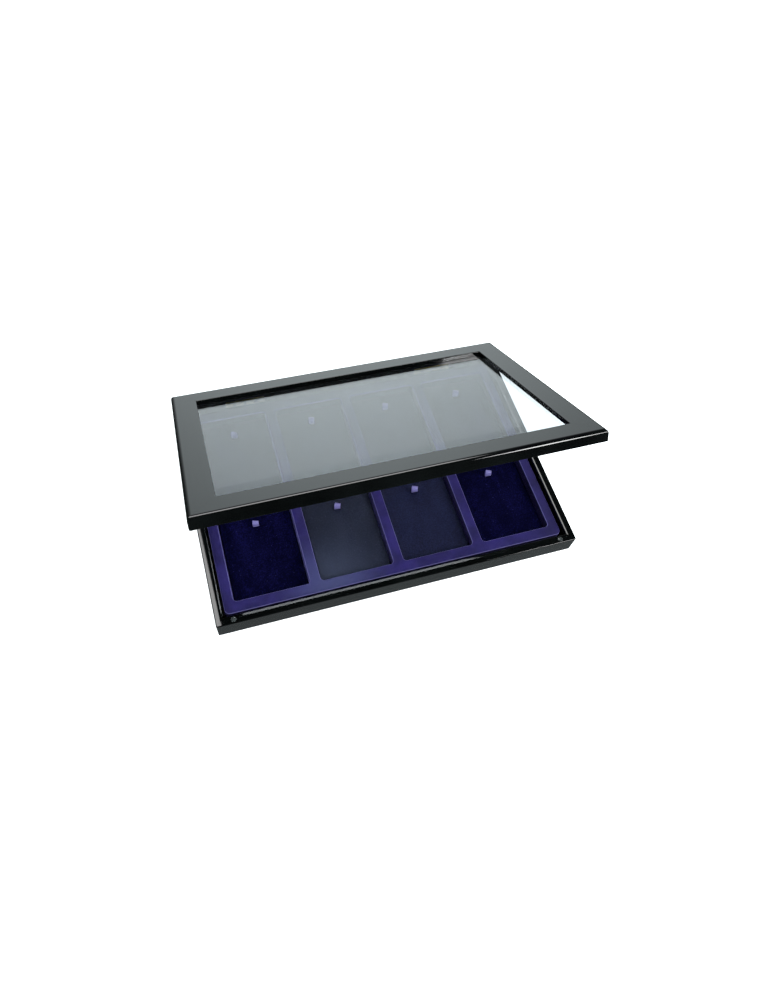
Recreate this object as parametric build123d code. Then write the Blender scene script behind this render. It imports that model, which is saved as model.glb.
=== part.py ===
from build123d import *

import os

# Pocket watch display box: a low lacquered case, a flocked tray with a place for each watch,
# and a glazed lid on two brass hinges. Millimetres, +Z up, the front towards -Y.
# The origin is the middle of the face that the case rests on. The lid stands part open.

# ---- Case: outside sizes, rails, bottom -------------------------------------------------
case_width = 350.0  # outside, along X
case_depth = 240.0  # outside, along Y
rim_height = 23.5  # from the table to the top of the base's rim
wall = 7.5  # thickness of the base's rails
corner_round = 1.2  # upright outer corners of the base and the lid
rim_round = 0.8  # both top edges of the base's rails
foot_round = 1.0  # lower outer edge of the base's and the lid's rails
panel_thickness = 3.0
panel_rebate = 4.0  # how far the bottom panel runs in under the rails
panel_clearance = 0.2  # round the bottom panel's edge
felt_thickness = 1.0
felt_inset = 3.0  # from the outside of the case to the felt's edge

# ---- Tray: board, flocked grid, pads, ribbons ---------------------------------------------
columns = 4
rows = 2
side_gap = 2.0  # between the tray and the rails at the left and the right
end_gap = 4.0  # between the tray and the rails at the front and the back
tray_drop = 5.5  # from the rim down to the top of the grid
board_thickness = 2.0
board_inset = 2.0  # from the grid's outside to the board's edge
side_border = 9.5  # grid's border at the left and the right
end_border = 10.5  # grid's border at the front and the back
ridge_width = 10.0  # grid's ridges between two places
tray_corner = 5.0  # upright outer corners of the grid
place_corner = 3.5  # upright corners of each place
ridge_bevel = 0.7  # top edges of the grid
pad_thickness = 3.0
pad_clearance = 0.8  # between a pad and the walls round it
pad_corner = 2.0  # cut off each upright corner of a pad
ribbon_width = 6.0
ribbon_thickness = 0.7
ribbon_eye = 3.4  # widest gap inside a loop
ribbon_height = 9.0  # of a loop above its pad
ribbon_setback = 19.0  # from the back wall of a place to its loop
slit_clearance = 0.25  # round a ribbon where it goes through its pad

# ---- Lid: rails, glass, beads, bumpers ------------------------------------------------------
lid_height = 11.5
lid_rail = 24.0  # width of the lid's rails
lid_round = 4.0  # outer top edge of the lid
window_round = 0.8  # top edge round the window
glass_depth = 4.6  # from the lid's top to the glass
glass_thickness = 2.0
glass_rebate = 7.5  # how far the glass rebate runs in over the rails
glass_clearance = 0.5  # round the glass's edge
bead_width = 2.0
bead_recess = 0.4  # from the lid's underside to the beads
lid_gap = 0.6  # between the rim and the lid when it is shut
bumper_radius = 2.5
bumper_clearance = 0.1  # between a bumper and the shut lid
bumper_inset = 16.0  # from the side of the case to a bumper's centre
lid_opening = 30.3  # degrees that the lid stands open
lid_limit = 100.3  # degrees of opening where the hinges stop the lid

# ---- Hinges: leaves, barrel, pin, stop --------------------------------------------------------
hinge_inset = 72.0  # from the side of the case to a hinge's centre
hinge_length = 40.0
knuckles = 3  # the base's leaf has the first one, the lid's leaf the next, and so on
knuckle_gap = 0.15  # between neighbouring knuckles
knuckle_radius = 2.0
leaf_thickness = 1.0
lid_leaf_width = 12.0
flange_height = 7.0  # of the base's leaf, down the inside of the back rail
flange_slot = 1.6  # relief slot in the middle of that flange
bend_round = 0.8  # outside of the bend between the leaf and its flange
barrel_standoff = 0.15  # between the back of the case and the knuckles
mortise_clearance = 0.1
pin_radius = 1.0
pin_clearance = 0.05
pin_head_radius = 1.5
pin_head_height = 0.5
stop_clearance = 0.1  # left between the stop and the base's leaf at the limit
stop_depth = 0.85  # of the stop lug on each of the lid's knuckles, towards the pin

# ---- Screws -----------------------------------------------------------------------------------
screw_radius = 1.0
screw_length = 5.0  # from the leaf's face
screw_spacing = 22.0  # between the two screws of a leaf
screw_drop = 3.8  # from the rim down to the flange's screws
screw_clearance = 0.05  # between a screw and its hole in the wood
leaf_hole_clearance = 0.2  # between a screw and its hole in the leaf
pan_radius = 2.0  # of the flat-sided heads on the flange
pan_height = 1.0
countersink_radius = 2.1  # of the flat heads in the lid's leaf
countersink_depth = leaf_thickness

# ---- Levels and places that follow from them --------------------------------------------------
panel_top = felt_thickness + panel_thickness
board_top = panel_top + board_thickness
pad_top = board_top + pad_thickness
tray_top = rim_height - tray_drop
tray_width = case_width - 2 * (wall + side_gap)
tray_depth = case_depth - 2 * (wall + end_gap)
place_width = (tray_width - 2 * side_border - (columns - 1) * ridge_width) / columns
place_depth = (tray_depth - 2 * end_border - (rows - 1) * ridge_width) / rows

back = case_depth / 2
inside_back = back - wall
lid_bottom = rim_height + lid_gap
glass_top = lid_bottom + lid_height - glass_depth
bead_height = lid_height - glass_depth - glass_thickness - bead_recess
pin_y = back + barrel_standoff + knuckle_radius
pin_z = rim_height + lid_gap / 2
pin_axis = Axis((0, pin_y, pin_z), (1, 0, 0))
hinge_places = {"left": hinge_inset - case_width / 2, "right": case_width / 2 - hinge_inset}


def section(points, rounds):
    """A closed face from its corners and the rounding of each, in their order."""
    return make_face(FilletPolyline(*points, radius=rounds, close=True))


def slab(width, depth, low, high, corner):
    """A flat board with rounded upright corners between two levels, centred on the origin."""
    return Pos(0, 0, low) * extrude(RectangleRounded(width, depth, corner), amount=high - low)


def mitred_rail(profile, length):
    """A rail along X with both ends mitred.

    The profile holds distances in from the rail's outer face and levels.
    """
    bar = extrude(Plane.YZ * profile, amount=length / 2, both=True)
    box = bar.bounding_box()
    corners = [
        (-length / 2, 0),
        (length / 2, 0),
        (length / 2 - box.max.Y, box.max.Y),
        (box.max.Y - length / 2, box.max.Y),
    ]
    plan = extrude(Polygon(*corners, align=None), amount=box.max.Z - box.min.Z)
    return bar & (Pos(0, 0, box.min.Z) * plan)


def frame_of_rails(profile, width, depth):
    """Four mitred rails of one profile round a rectangle, by the side that each is on."""
    long_rail = Pos(0, -depth / 2, 0) * mitred_rail(profile, width)
    short_rail = Pos(0, -width / 2, 0) * mitred_rail(profile, depth)
    return {
        "front": long_rail,
        "back": Rot(0, 0, 180) * long_rail,
        "right": Rot(0, 0, 90) * short_rail,
        "left": Rot(0, 0, -90) * short_rail,
    }


def case_outline(low, high):
    """The room inside the case's outside, with its rounded upright corners."""
    return slab(case_width, case_depth, low, high, corner_round)


# ---- Screws ------------------------------------------------------------------------------------
def screw_shank():
    """The core of a screw below its head, along -Z from the origin."""
    return Cylinder(screw_radius, screw_length, align=(Align.CENTER, Align.CENTER, Align.MAX))


def pan_screw():
    """A screw whose head stands on z = 0, with its shank along -Z."""
    head = Cylinder(pan_radius, pan_height, align=(Align.CENTER, Align.CENTER, Align.MIN))
    return head + screw_shank()


def countersunk_screw():
    """A screw whose flat head is flush with z = 0, with its shank along -Z."""
    head = Pos(0, 0, -countersink_depth / 2) * Cone(screw_radius, countersink_radius, countersink_depth)
    return head + screw_shank()


def flange_screw_places(centre):
    """Where the screws of one base leaf seat, heads towards the front."""
    seat = inside_back - leaf_thickness
    return [
        Pos(centre + side * screw_spacing / 2, seat, rim_height - screw_drop) * Rot(90, 0, 0)
        for side in (-1, 1)
    ]


def lid_screw_places(centre):
    """Where the screws of one lid leaf seat with the lid shut, heads downwards."""
    middle = back - lid_leaf_width / 2
    return [
        Pos(centre + side * screw_spacing / 2, middle, lid_bottom) * Rot(180, 0, 0)
        for side in (-1, 1)
    ]


def screw_hole(clearance, length):
    """The room that a screw's shank needs, down from its seat and a little above it."""
    return Pos(0, 0, -length / 2) * Cylinder(screw_radius + clearance, length)


# ---- Base ---------------------------------------------------------------------------------------
def make_base():
    """Rails, bottom panel and felt of the base."""
    rebate = wall - panel_rebate
    profile = section(
        [
            (0, felt_thickness),
            (rebate, felt_thickness),
            (rebate, panel_top),
            (wall, panel_top),
            (wall, rim_height),
            (0, rim_height),
        ],
        [foot_round, 0, 0, 0, rim_round, rim_round],
    )
    outline = case_outline(felt_thickness, rim_height)
    rails = frame_of_rails(profile, case_width, case_depth)
    parts = {f"base_{side}_rail": rail & outline for side, rail in rails.items()}
    for centre in hinge_places.values():
        parts["base_back_rail"] -= base_leaf_room(centre)

    inset = rebate + panel_clearance
    panel_width = case_width - 2 * inset
    panel_depth = case_depth - 2 * inset
    panel = Box(panel_width, panel_depth, panel_thickness)
    parts["bottom_panel"] = Pos(0, 0, panel_top - panel_thickness / 2) * panel
    felt_width = case_width - 2 * felt_inset
    felt_depth = case_depth - 2 * felt_inset
    parts["bottom_felt"] = Pos(0, 0, felt_thickness / 2) * Box(felt_width, felt_depth, felt_thickness)
    return parts


def base_leaf_room(centre):
    """The mortise of one base leaf in the back rail, with its screw holes."""
    mortise = Box(
        hinge_length + 2 * mortise_clearance,
        wall,
        leaf_thickness,
        align=(Align.CENTER, Align.MAX, Align.MAX),
    )
    room = Pos(centre, back, rim_height) * mortise
    for place in flange_screw_places(centre):
        room += place * screw_hole(screw_clearance, screw_length + screw_clearance)
    return room


def make_bumpers():
    """The two bumpers on the front rim that the shut lid meets."""
    height = lid_gap - bumper_clearance
    button = Cylinder(bumper_radius, height, align=(Align.CENTER, Align.CENTER, Align.MIN))
    reach = case_width / 2 - bumper_inset
    middle = wall / 2 - case_depth / 2
    return Compound([Pos(side * reach, middle, rim_height) * button for side in (-1, 1)])


# ---- Tray ---------------------------------------------------------------------------------------
def place_centres():
    """The centre of each place in plan, by its row from the front and its column from the left."""
    pitch_x = place_width + ridge_width
    pitch_y = place_depth + ridge_width
    return {
        (row, column): ((column - (columns - 1) / 2) * pitch_x, (row - (rows - 1) / 2) * pitch_y)
        for row in range(rows)
        for column in range(columns)
    }


def make_grid():
    """The flocked grid: a border and ridges with bevelled tops round the places."""
    grid = slab(tray_width, tray_depth, board_top, tray_top, tray_corner)
    hollow = slab(place_width, place_depth, board_top, tray_top, place_corner)
    for x, y in place_centres().values():
        grid -= Pos(x, y, 0) * hollow
    rims = grid.edges().filter_by_position(Axis.Z, tray_top, tray_top)
    return chamfer(rims, ridge_bevel)


def ribbon_y(y):
    """Where the loop of the place centred on y stands."""
    return y + place_depth / 2 - ribbon_setback


def make_pad(x, y):
    """One soft pad with the slit that its ribbon comes through."""
    pad = Box(place_width - 2 * pad_clearance, place_depth - 2 * pad_clearance, pad_thickness)
    pad = chamfer(pad.edges().filter_by(Axis.Z), pad_corner)
    slit = Box(ribbon_width + 2 * slit_clearance, 2 * (ribbon_thickness + slit_clearance), pad_thickness)
    pad -= Pos(0, ribbon_y(y) - y, 0) * slit
    return Pos(x, y, pad_top - pad_thickness / 2) * pad


def make_ribbon(x, y):
    """One ribbon: a folded loop on two plies that go down to the board."""
    top = pad_top + ribbon_height
    neck = pad_top + ribbon_thickness
    wide = ribbon_eye / 2 + ribbon_thickness
    side = Polyline(
        (0, top),
        (wide / 2, top),
        (wide, top - wide / 2),
        (wide, top - wide),
        (ribbon_thickness, neck),
        (ribbon_thickness, board_top),
        (0, board_top),
        (0, neck),
        (ribbon_eye / 2, top - wide),
        (ribbon_eye / 2, top - wide / 2),
        (ribbon_eye / 4, top - ribbon_thickness),
        (0, top - ribbon_thickness),
        close=True,
    )
    side = make_face(side)
    strip = side + mirror(side, Plane.YZ)
    strap = extrude(Plane.YZ * strip, amount=ribbon_width / 2, both=True)
    return Pos(x, ribbon_y(y), 0) * strap


def make_tray():
    """Board, grid, pads and ribbons of the lift-out tray."""
    inset = 2 * board_inset
    board = Box(tray_width - inset, tray_depth - inset, board_thickness)
    board = Pos(0, 0, board_top - board_thickness / 2) * board
    parts = {"tray_board": board, "tray_grid": make_grid()}
    for (row, column), (x, y) in place_centres().items():
        place = f"row{row + 1}_column{column + 1}"
        parts[f"pad_{place}"] = make_pad(x, y)
        parts[f"ribbon_{place}"] = make_ribbon(x, y)
    return parts


# ---- Lid, made shut ------------------------------------------------------------------------------
def make_lid():
    """Rails, glass and glazing beads of the lid, with the lid shut."""
    rebate = lid_rail - glass_rebate
    lid_top = lid_bottom + lid_height
    profile = section(
        [
            (0, lid_bottom),
            (rebate, lid_bottom),
            (rebate, glass_top),
            (lid_rail, glass_top),
            (lid_rail, lid_top),
            (0, lid_top),
        ],
        [foot_round, 0, 0, 0, window_round, lid_round],
    )
    outline = case_outline(lid_bottom, lid_top)
    rails = frame_of_rails(profile, case_width, case_depth)
    parts = {f"lid_{side}_rail": rail & outline for side, rail in rails.items()}
    for centre in hinge_places.values():
        parts["lid_back_rail"] -= lid_leaf_room(centre)

    opening_width = case_width - 2 * rebate
    opening_depth = case_depth - 2 * rebate
    glass = Box(
        opening_width - 2 * glass_clearance,
        opening_depth - 2 * glass_clearance,
        glass_thickness,
        align=(Align.CENTER, Align.CENTER, Align.MAX),
    )
    parts["lid_glass"] = Pos(0, 0, glass_top) * glass

    bead_top = glass_top - glass_thickness
    bead_low = bead_top - bead_height
    bead = section(
        [(0, bead_low), (bead_width, bead_low), (bead_width, bead_top), (0, bead_top)],
        [0, bead_width / 2, 0, 0],
    )
    beads = frame_of_rails(bead, opening_width, opening_depth)
    parts.update({f"glazing_bead_{side}": piece for side, piece in beads.items()})
    return parts


def lid_leaf_room(centre):
    """The mortise of one lid leaf in the back rail of the shut lid, with its screw holes."""
    mortise = Box(
        hinge_length + 2 * mortise_clearance,
        lid_leaf_width + mortise_clearance,
        leaf_thickness,
        align=(Align.CENTER, Align.MAX, Align.MIN),
    )
    room = Pos(centre, back, lid_bottom) * mortise
    for place in lid_screw_places(centre):
        room += place * screw_hole(screw_clearance, screw_length + screw_clearance)
    return room


# ---- Hinges, made shut ---------------------------------------------------------------------------
def barrel(centre, first, leaf_low):
    """Every second knuckle of one hinge from the first, joined to a leaf at this level."""
    pitch = hinge_length / knuckles
    length = pitch - knuckle_gap
    solids = []
    for index in range(first, knuckles, 2):
        x = centre + (index - (knuckles - 1) / 2) * pitch
        tube = Pos(x, pin_y, pin_z) * Rot(0, 90, 0) * Cylinder(knuckle_radius, length)
        web = Box(
            length,
            pin_y - back + leaf_thickness,
            leaf_thickness,
            align=(Align.CENTER, Align.MAX, Align.MIN),
        )
        solids += [tube, Pos(x, pin_y, leaf_low) * web]
    return solids


def pin_bore(centre):
    """The bore for one hinge's pin through all its knuckles."""
    bore = Cylinder(pin_radius + pin_clearance, hinge_length)
    return Pos(centre, pin_y, pin_z) * Rot(0, 90, 0) * bore


def make_base_leaf(centre):
    """A leaf let into the rim and folded down the inside of the back rail."""
    front = inside_back - leaf_thickness
    low = rim_height - leaf_thickness
    profile = section(
        [
            (front, rim_height - flange_height),
            (inside_back, rim_height - flange_height),
            (inside_back, low),
            (back, low),
            (back, rim_height),
            (front, rim_height),
        ],
        [0, 0, 0, 0, 0, bend_round],
    )
    leaf = Pos(centre, 0, 0) * extrude(Plane.YZ * profile, amount=hinge_length / 2, both=True)
    for solid in barrel(centre, 0, low):
        leaf += solid
    slot = Box(
        flange_slot,
        leaf_thickness,
        flange_height - leaf_thickness,
        align=(Align.CENTER, Align.MIN, Align.MIN),
    )
    leaf -= Pos(centre, front, rim_height - flange_height) * slot
    for place in flange_screw_places(centre):
        leaf -= place * screw_hole(leaf_hole_clearance, 2 * leaf_thickness)
    return leaf - pin_bore(centre)


def stop_lug():
    """The lug that meets the base's leaf when the lid is at its limit, in that pose."""
    lug_back = back + stop_clearance + stop_depth
    low = rim_height - leaf_thickness
    profile = section(
        [
            (back + stop_clearance, low),
            (lug_back, low),
            (lug_back, rim_height),
            (back + stop_clearance, rim_height - leaf_thickness / 4),
        ],
        [0, 0, 0, 0],
    )
    length = hinge_length / knuckles - knuckle_gap
    lug = extrude(Plane.YZ * profile, amount=length / 2, both=True)
    return lug.rotate(pin_axis, lid_limit)


def make_lid_leaf(centre):
    """A flat leaf let into the lid's underside, with a stop lug on each knuckle."""
    plate = Box(
        hinge_length,
        lid_leaf_width,
        leaf_thickness,
        align=(Align.CENTER, Align.MAX, Align.MIN),
    )
    leaf = Pos(centre, back, lid_bottom) * plate
    for solid in barrel(centre, 1, lid_bottom):
        leaf += solid
    pitch = hinge_length / knuckles
    for index in range(1, knuckles, 2):
        leaf += Pos(centre + (index - (knuckles - 1) / 2) * pitch, 0, 0) * stop_lug()
    for place in lid_screw_places(centre):
        leaf -= place * screw_hole(leaf_hole_clearance, 2 * leaf_thickness)
        leaf -= place * countersink()
    return leaf - pin_bore(centre)


def countersink():
    """The cone under a flat head, down from the leaf's face."""
    wide = countersink_radius + leaf_hole_clearance
    narrow = screw_radius + leaf_hole_clearance
    return Pos(0, 0, -countersink_depth / 2) * Cone(narrow, wide, countersink_depth)


def make_pin(centre):
    """A hinge pin with a small head at one end of the barrel, flush with the other."""
    reach = (hinge_length - knuckle_gap) / 2
    pin = Cylinder(pin_radius, 2 * reach)
    pin += Pos(0, 0, reach + pin_head_height / 2) * Cylinder(pin_head_radius, pin_head_height)
    return Pos(centre, pin_y, pin_z) * Rot(0, 90, 0) * pin


def make_hinges():
    """The fixed and the swinging pieces of both hinges, with the lid shut."""
    fixed = {}
    swinging = {}
    for side, centre in hinge_places.items():
        fixed[f"hinge_{side}_base_leaf"] = make_base_leaf(centre)
        fixed[f"hinge_{side}_pin"] = make_pin(centre)
        flange_screws = [place * pan_screw() for place in flange_screw_places(centre)]
        fixed[f"hinge_{side}_base_screws"] = Compound(flange_screws)
        swinging[f"hinge_{side}_lid_leaf"] = make_lid_leaf(centre)
        leaf_screws = [place * countersunk_screw() for place in lid_screw_places(centre)]
        swinging[f"hinge_{side}_lid_screws"] = Compound(leaf_screws)
    return fixed, swinging


# ---- The whole box -------------------------------------------------------------------------------
def make_box():
    """Every piece by its name, with the lid standing open."""
    hinge_fixed, hinge_swinging = make_hinges()
    parts = {**make_base(), "lid_bumpers": make_bumpers(), **make_tray(), **hinge_fixed}
    for name, shape in {**make_lid(), **hinge_swinging}.items():
        parts[name] = shape.rotate(pin_axis, -lid_opening)
    return parts


os.makedirs("parts", exist_ok=True)
for name, shape in make_box().items():
    export_step(shape, f"parts/{name}.step")
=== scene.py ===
"""Looks of a pocket watch display box: lacquered case, glazed lid, flocked tray, brass hinges.

Sizes in the classes are millimetres in the part's own frame: +X along the width, +Y from the
front to the hinges, +Z up from the surface that the case rests on. Meshes are made in metres.
"""

from __future__ import annotations

import logging
import math
from dataclasses import dataclass, field
from enum import Enum
from typing import Any, Iterable, Sequence

import bmesh
import bpy
import numpy as np
from mathutils import Matrix, Vector

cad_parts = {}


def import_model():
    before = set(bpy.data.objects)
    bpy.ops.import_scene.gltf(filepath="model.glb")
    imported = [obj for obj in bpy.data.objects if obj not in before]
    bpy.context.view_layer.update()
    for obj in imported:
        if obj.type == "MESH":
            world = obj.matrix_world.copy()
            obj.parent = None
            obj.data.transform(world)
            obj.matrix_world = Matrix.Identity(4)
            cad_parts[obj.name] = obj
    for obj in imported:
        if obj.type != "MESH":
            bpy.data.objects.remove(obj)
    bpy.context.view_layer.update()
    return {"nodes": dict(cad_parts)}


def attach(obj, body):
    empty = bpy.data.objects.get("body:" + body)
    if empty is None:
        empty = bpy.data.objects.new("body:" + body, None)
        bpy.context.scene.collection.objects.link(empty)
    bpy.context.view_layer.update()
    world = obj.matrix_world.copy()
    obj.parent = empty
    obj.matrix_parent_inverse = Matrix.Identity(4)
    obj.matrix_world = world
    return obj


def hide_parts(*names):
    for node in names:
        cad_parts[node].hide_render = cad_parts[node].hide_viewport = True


MM = 0.001
MERGE = 2e-6  # metres: points closer than this are one point
TINY = 1e-9  # keeps a division by nothing from failing
SMALL = 1e-6  # what counts as no radius and as no bend at a corner
SHARPEST = 1e-3  # radians: the least half angle at a corner
HOLD = 0.15  # millimetres: how far beside an arc a flat side is pinned
SHELL_GAP = 0.02  # millimetres: how far below its head's edge a screw's shank starts
ARC_STEPS = 8  # spans of each rounded corner of a rail's section
END_STATIONS = 5  # stations round a rail's upright corner, up to its mitre
MOUTH_CORNER, MOUTH_SIDE = 10, 14  # points on each corner and each side of a place's mouth
PAD_SPANS = (62, 82)  # even steps across a pad and along it
LOOP_POINTS = 41  # points along a ribbon loop
LOOP_SEED = 50  # what sets the loops' random draws apart from the pads'
QUADRANTS = np.array([[1, 1], [-1, 1], [-1, -1], [1, -1]], dtype=float)  # corners in order
FACINGS = np.array([[0, 1], [-1, 0], [0, -1], [1, 0]], dtype=float)  # the side after each corner
PAINTED_SHEEN_PLACE = (-0.064, -0.100, 0.018)  # metres: middle of a pale patch painted into the flock and one pad, a painted reflection
PAINTED_SHEEN_REACH = 0.064  # metres: how far round it the painted reflection reaches
log = logging.getLogger("display_box")

Triple = tuple[float, float, float]
Span = tuple[float, float]
Nodes = dict[str, bpy.types.Object]
Paints = dict[str, bpy.types.Material]
Socket = bpy.types.NodeSocket


class Side(Enum):
    """The four sides of the case, each with the turn in degrees from the front to it."""

    FRONT = 0
    RIGHT = 90
    BACK = 180
    LEFT = 270

    @property
    def word(self) -> str:
        """The side's name as the nodes have it."""
        return self.name.lower()


class Nap(Enum):
    """How the pile of a pad lies."""

    DEEP = "deep"
    STROKED = "stroked"
    BRUSHED = "brushed"


# ---- Arrays and meshes --------------------------------------------------------------------------
@dataclass
class Patch:
    """A grid of points, its first two axes being the two parameters of the surface.

    Args:
        points: array of shape (rows, columns, 3), in millimetres.
        wrap: the last column joins the first.
        keep: which cells of the grid are faces, or None for all.
    """

    points: np.ndarray
    wrap: bool = True
    keep: np.ndarray | None = None

    def faces(self) -> np.ndarray:
        """Corners of the grid's cells, numbered row by row."""
        rows, columns = self.points.shape[:2]
        number = np.arange(rows * columns).reshape(rows, columns)
        if self.wrap:
            number = np.hstack([number, number[:, :1]])
        corners = [number[:-1, :-1], number[:-1, 1:], number[1:, 1:], number[1:, :-1]]
        cells = np.stack(corners, axis=-1)
        return cells.reshape(-1, 4) if self.keep is None else cells[self.keep]


def piece_from(
    name: str, patches: Iterable[Patch], caps: Iterable[np.ndarray] = (), crease: float = 35.0
) -> bpy.types.Object:
    """Joins grids and flat caps into one closed mesh object at the origin.

    Args:
        name: the object's name.
        patches: the grids, which meet along shared points.
        caps: closed outlines in millimetres, each filled with one flat face.
        crease: edges that bend more than this many degrees are drawn sharp.

    Returns:
        The new object, linked to the scene.
    """
    points, faces, start = [], [], 0
    for patch in patches:
        flat = patch.points.reshape(-1, 3)
        points.append(flat)
        faces += (patch.faces() + start).tolist()
        start += len(flat)
    for cap in caps:
        points.append(cap)
        faces.append(list(range(start, start + len(cap))))
        start += len(cap)
    mesh = bpy.data.meshes.new(name)
    mesh.from_pydata((np.vstack(points) * MM).tolist(), [], faces)
    work = bmesh.new()
    work.from_mesh(mesh)
    bmesh.ops.remove_doubles(work, verts=work.verts, dist=MERGE)
    bmesh.ops.dissolve_degenerate(work, edges=work.edges, dist=MERGE / 2)
    bmesh.ops.recalc_face_normals(work, faces=work.faces)
    work.to_mesh(mesh)
    work.free()
    mesh.polygons.foreach_set("use_smooth", np.ones(len(mesh.polygons), dtype=bool))
    mesh.set_sharp_from_angle(angle=math.radians(crease))
    mesh.update()
    return linked(name, mesh)


def linked(name: str, data: bpy.types.ID) -> bpy.types.Object:
    """Makes an object and puts it into the scene.

    Args:
        name: the object's name.
        data: its mesh, light or camera.

    Returns:
        The new object.
    """
    made = bpy.data.objects.new(name, data)
    bpy.context.scene.collection.objects.link(made)
    return made


def turned(points: np.ndarray, degrees: float) -> np.ndarray:
    """Points turned about the upright axis through the origin."""
    c, s = math.cos(math.radians(degrees)), math.sin(math.radians(degrees))
    return points @ np.array([[c, s, 0], [-s, c, 0], [0, 0, 1]])


def lifted(rings: np.ndarray, level: np.ndarray) -> np.ndarray:
    """Plan rings as points in space, each ring at its own level."""
    height = np.broadcast_to(level[:, None, None], (*rings.shape[:2], 1))
    return np.concatenate([rings, height], axis=-1)


def revolved(radius: np.ndarray, level: np.ndarray, turn: np.ndarray) -> np.ndarray:
    """Points at these radii and levels, a row each, for every turn about the upright axis."""
    level = np.broadcast_to(level, (len(radius), len(turn)))
    return np.stack([radius * np.cos(turn), radius * np.sin(turn), level], axis=-1)


def symmetric(half: float, spans: int, edge: np.ndarray) -> np.ndarray:
    """Even steps from -half to half, with these further steps beyond each end."""
    middle = np.linspace(-half, half, spans + 1)
    return np.concatenate([-half - edge[::-1], middle, half + edge])


def rounded_section(corners: Sequence[Triple]) -> np.ndarray:
    """A closed section whose corners are arcs that touch both neighbouring sides.

    Each corner's arc starts and ends at radius x tan(half the turn) from the corner and bulges
    towards it, so a radius of nothing leaves the corner as several points in one place. A point
    a little beyond each end of the arc keeps the flat side's shading flat.

    Args:
        corners: (inward, level, radius) of each corner in order.

    Returns:
        Array of shape (corners x (ARC_STEPS + 3), 2).
    """
    spot = np.array(corners, dtype=float)
    here, radius = spot[:, :2], np.maximum(spot[:, 2], SMALL)
    before, after = np.roll(here, 1, axis=0) - here, np.roll(here, -1, axis=0) - here
    side = np.maximum(np.linalg.norm(after, axis=1), TINY)
    before /= np.roll(side, 1)[:, None]
    after /= side[:, None]
    half = np.arccos(np.clip((before * after).sum(axis=1), -1, 1)) / 2
    bisector = before + after
    length = np.linalg.norm(bisector, axis=1, keepdims=True)
    straight = length[:, 0] < SMALL
    bisector /= np.maximum(length, TINY)
    half = np.where(straight, math.pi / 2, np.maximum(half, SHARPEST))
    centre = here + bisector * (radius / np.sin(half))[:, None]
    reach = radius / np.tan(half)
    start = here + before * reach[:, None] - centre
    end = here + after * reach[:, None] - centre
    hold = np.clip((side - reach - np.roll(reach, -1)) / 4, 0, HOLD)
    share = np.linspace(0, 1, ARC_STEPS + 1)[None, :, None]
    span = np.maximum(math.pi - 2 * half, SMALL)[:, None, None]
    arc = np.sin((1 - share) * span) * start[:, None] + np.sin(share * span) * end[:, None]
    arc = arc / np.sin(span) + centre[:, None] - here[:, None]
    arc = np.where(straight[:, None, None], 0, arc) + here[:, None]
    first = arc[:, 0] + before * np.roll(hold, 1)[:, None]
    last = arc[:, -1] + after * hold[:, None]
    return np.concatenate([first[:, None], arc, last[:, None]], axis=1).reshape(-1, 2)


def rounded_outline(
    half_x: float, half_y: float, radius: float, corner_steps: int, side_steps: int
) -> tuple[np.ndarray, np.ndarray]:
    """Points round a rectangle with rounded corners, and the outward direction at each.

    Triple k turns from 90 k to 90 k + 90 degrees about its centre, and straight runs of evenly
    spaced points join one corner's end to the next one's start.

    Args:
        half_x: half the width.
        half_y: half the depth.
        radius: radius of the corners.
        corner_steps: points on each corner.
        side_steps: points between two corners.

    Returns:
        Two arrays of shape (4 x (corner_steps + side_steps), 2).
    """
    centre = QUADRANTS * [half_x - radius, half_y - radius]
    angle = np.radians(90 * np.arange(4)[:, None] + np.linspace(0, 90, corner_steps)[None])
    out = np.stack([np.cos(angle), np.sin(angle)], axis=-1)
    arc = centre[:, None] + radius * out
    share = np.linspace(0, 1, side_steps + 2)[1:-1][None, :, None]
    run = arc[:, -1:] * (1 - share) + np.roll(arc, -1, axis=0)[:, :1] * share
    run_out = np.broadcast_to(out[:, -1:], run.shape)
    points = np.concatenate([arc, run], axis=1).reshape(-1, 2)
    return points, np.concatenate([out, run_out], axis=1).reshape(-1, 2)


# ---- Colours and shader nodes -------------------------------------------------------------------
def linear(code: str) -> tuple[float, float, float, float]:
    """The scene-linear colour of an sRGB hex code such as #1A2B3C."""
    parts = np.array([int(code[i : i + 2], 16) for i in (1, 3, 5)]) / 255
    parts = np.where(parts <= 0.04045, parts / 12.92, ((parts + 0.055) / 1.055) ** 2.4)
    return (*parts.tolist(), 1.0)


def per_metre(millimetres: float) -> float:
    """The texture scale whose pattern repeats about every so many millimetres."""
    return 1 / (millimetres * MM)


def add_node(
    tree: bpy.types.NodeTree, kind: str, settings: dict[str, Any] | None = None, **inputs: Any
) -> bpy.types.Node:
    """Adds one node, sets its properties, and fills or links its inputs.

    Args:
        tree: the node tree that gets the node.
        kind: the node's type, without the leading "ShaderNode".
        settings: the node's own properties.
        inputs: values or output sockets by name, _ standing for a space, or by number as i0.

    Returns:
        The new node.
    """
    node = tree.nodes.new("ShaderNode" + kind)
    for key, value in (settings or {}).items():
        setattr(node, key, value)
    for key, value in inputs.items():
        numbered = key[0] == "i" and key[1:].isdigit()
        socket = node.inputs[int(key[1:]) if numbered else key.replace("_", " ")]
        if isinstance(value, bpy.types.NodeSocket):
            tree.links.new(value, socket)
        else:
            socket.default_value = value
    return node


def calculated(tree: bpy.types.NodeTree, operation: str, *values: Socket | float) -> Socket:
    """The result of one operation on sockets or numbers."""
    inputs = {f"i{index}": value for index, value in enumerate(values)}
    return add_node(tree, "Math", {"operation": operation}, **inputs).outputs["Value"]


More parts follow.
